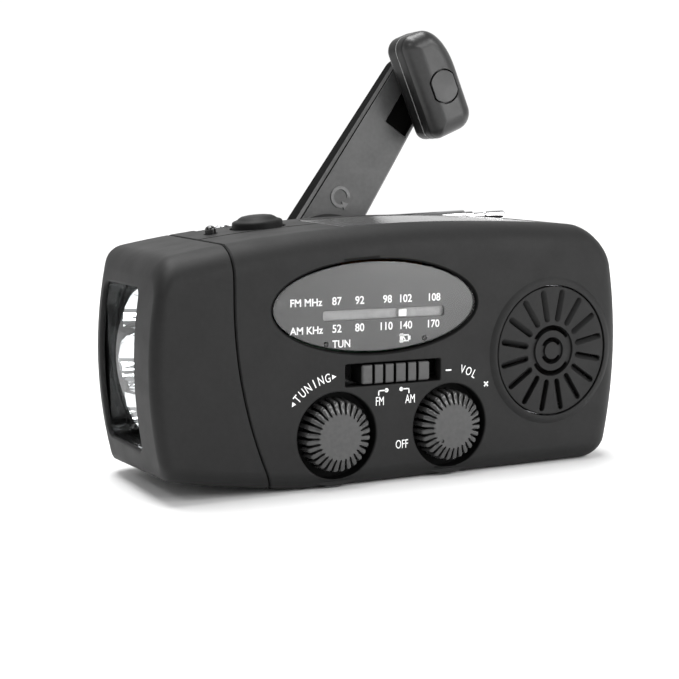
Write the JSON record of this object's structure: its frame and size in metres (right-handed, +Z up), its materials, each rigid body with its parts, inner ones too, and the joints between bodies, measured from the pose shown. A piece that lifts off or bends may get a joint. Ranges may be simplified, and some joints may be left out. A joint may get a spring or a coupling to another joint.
{
  "type": "emergency radio",
  "caption": "Hand-crank and solar AM/FM radio with a torch in one end, two ribbed knobs, a round speaker, a folding crank and a telescopic antenna.",
  "frame": {"origin": "middle of the flat base, on the surface that the radio stands on", "axes": "+Z up, front with dial and knobs towards -Y, torch towards -X, speaker towards +X, crank on the back towards +Y"},
  "size_m": [0.126, 0.0708, 0.1102],
  "materials": {
    "case_black": "fine moulded texture, satin",
    "knob_black": "moulded, satin",
    "rubber_black": "soft matt rubber",
    "crank_grey": "fine moulded texture, satin",
    "gloss_black": "polished",
    "dial_grey": "printed scale, glossy",
    "clear_lens": "clear polycarbonate",
    "window_smoke": "clear glossy dial window",
    "chrome": "mirror plated",
    "steel": "zinc plated",
    "switch_grey": "moulded, satin",
    "solar_blue": "thin-film cell",
    "board_green": "solder mask",
    "ferrite": "sintered",
    "copper": "enamelled wire",
    "nylon": "natural",
    "white_plastic": "satin",
    "led_clear": "clear epoxy",
    "cell_blue": "shrink sleeve",
    "paper_black": "pressed paper"
  },
  "bodies": {
    "case": {"front_shell": "case_black", "rear_shell": "case_black", "torch_cap": "case_black", "battery_cover": "case_black", "case_screw_1": "steel", "case_screw_2": "steel", "case_screw_3": "steel", "case_screw_4": "steel", "battery_pack": "cell_blue", "usb_socket": "steel", "charge_socket": "steel", "solar_cell": "solar_blue", "solar_cover": "clear_lens", "torch_switch": "gloss_black", "power_led": "gloss_black", "reflector": "chrome", "torch_lens": "clear_lens", "led_1": "led_clear", "led_2": "led_clear", "led_3": "led_clear", "led_board": "board_green", "dial_window": "window_smoke", "dial_plate": "dial_grey", "tuning_led": "led_clear", "charge_led": "led_clear", "band_switch_body": "steel", "speaker_grille": "case_black", "speaker_frame": "steel", "speaker_cone": "paper_black", "tuning_capacitor": "nylon", "volume_pot": "steel", "main_board": "board_green", "ferrite_rod": "ferrite", "ferrite_coil": "copper", "idler_axle": "steel", "dynamo": "steel", "gearbox_plate": "steel", "antenna_bracket": "steel"},
    "crank": {"crank_shaft": "steel", "crank_hub": "crank_grey", "fold_pin": "steel"},
    "arm": {"crank_arm": "crank_grey", "grip_pin": "steel"},
    "grip": {"grip_rear": "gloss_black", "grip_front": "gloss_black", "grip_cap": "gloss_black"},
    "idler": {"idler_gear": "nylon"},
    "dynamo_rotor": {"dynamo_pinion": "steel"},
    "tuning": {"tuning_knob": "knob_black"},
    "pointer": {"dial_pointer": "white_plastic"},
    "volume": {"volume_knob": "knob_black"},
    "band_switch": {"band_switch_cap": "switch_grey"},
    "torch_press": {"torch_button": "rubber_black"},
    "antenna": {"antenna_knuckle": "chrome", "antenna_section_1": "chrome"},
    "antenna_tube_2": {"antenna_section_2": "chrome"},
    "antenna_tube_3": {"antenna_section_3": "chrome"},
    "antenna_tube_4": {"antenna_section_4": "chrome"}
  },
  "joints": [
    {"name": "crank_turn", "type": "hinge", "parent": "case", "child": "crank", "pos_m": [0.0005, 0, 0.0448], "axis": [0, 1, 0], "continuous": true},
    {"name": "arm_fold", "type": "hinge", "parent": "crank", "child": "arm", "pos_m": [0.0005, 0.0416, 0.0448], "axis": [-0.8377, 0, 0.5461], "range_deg": [0, 180]},
    {"name": "grip_spin", "type": "hinge", "parent": "arm", "child": "grip", "pos_m": [0.03723, 0.0305, 0.09546], "axis": [0, 1, 0], "continuous": true},
    {"name": "idler_turn", "type": "hinge", "parent": "case", "child": "idler", "pos_m": [-0.00773, 0.015, 0.03499], "axis": [0, 1, 0], "continuous": true},
    {"name": "dynamo_turn", "type": "hinge", "parent": "case", "child": "dynamo_rotor", "pos_m": [-0.00171, 0.013, 0.01846], "axis": [0, 1, 0], "continuous": true},
    {"name": "tuning_turn", "type": "hinge", "parent": "case", "child": "tuning", "pos_m": [-0.0194, -0.0225, 0.0122], "axis": [0, 1, 0], "range_deg": [-180, 90]},
    {"name": "pointer_slide", "type": "slide", "parent": "case", "child": "pointer", "axis": [1, 0, 0], "range_m": [-0.0192, 0.0098]},
    {"name": "volume_turn", "type": "hinge", "parent": "case", "child": "volume", "pos_m": [0.0105, -0.0225, 0.0122], "axis": [0, 1, 0], "range_deg": [0, 280]},
    {"name": "band_slide", "type": "slide", "parent": "case", "child": "band_switch", "axis": [1, 0, 0], "range_m": [-0.0036, 0.0027]},
    {"name": "torch_push", "type": "slide", "parent": "case", "child": "torch_press", "axis": [0, 0, -1], "range_m": [0, 0.0012], "stiffness_N_per_m": 400},
    {"name": "antenna_tilt", "type": "hinge", "parent": "case", "child": "antenna", "pos_m": [-0.03, 0.0183, 0.0572], "axis": [0, -1, 0], "range_deg": [0, 150]},
    {"name": "antenna_draw", "type": "slide", "parent": "antenna", "child": "antenna_tube_2", "axis": [0.9989, 0, 0.0468], "range_m": [0, 0.056]},
    {"name": "antenna_draw_3", "type": "slide", "parent": "antenna_tube_2", "child": "antenna_tube_3", "axis": [0.9989, 0, 0.0468], "range_m": [0, 0.056]},
    {"name": "antenna_draw_4", "type": "slide", "parent": "antenna_tube_3", "child": "antenna_tube_4", "axis": [0.9989, 0, 0.0468], "range_m": [0, 0.056]}
  ],
  "couplings": [
    {"joint": "idler_turn", "follows": "crank_turn", "ratio": -1.6667},
    {"joint": "dynamo_turn", "follows": "crank_turn", "ratio": 4.4444},
    {"joint": "pointer_slide", "follows": "tuning_turn", "m_per_rad": 0.006},
    {"joint": "antenna_draw_3", "follows": "antenna_draw", "ratio": 1},
    {"joint": "antenna_draw_4", "follows": "antenna_draw", "ratio": 1}
  ]
}
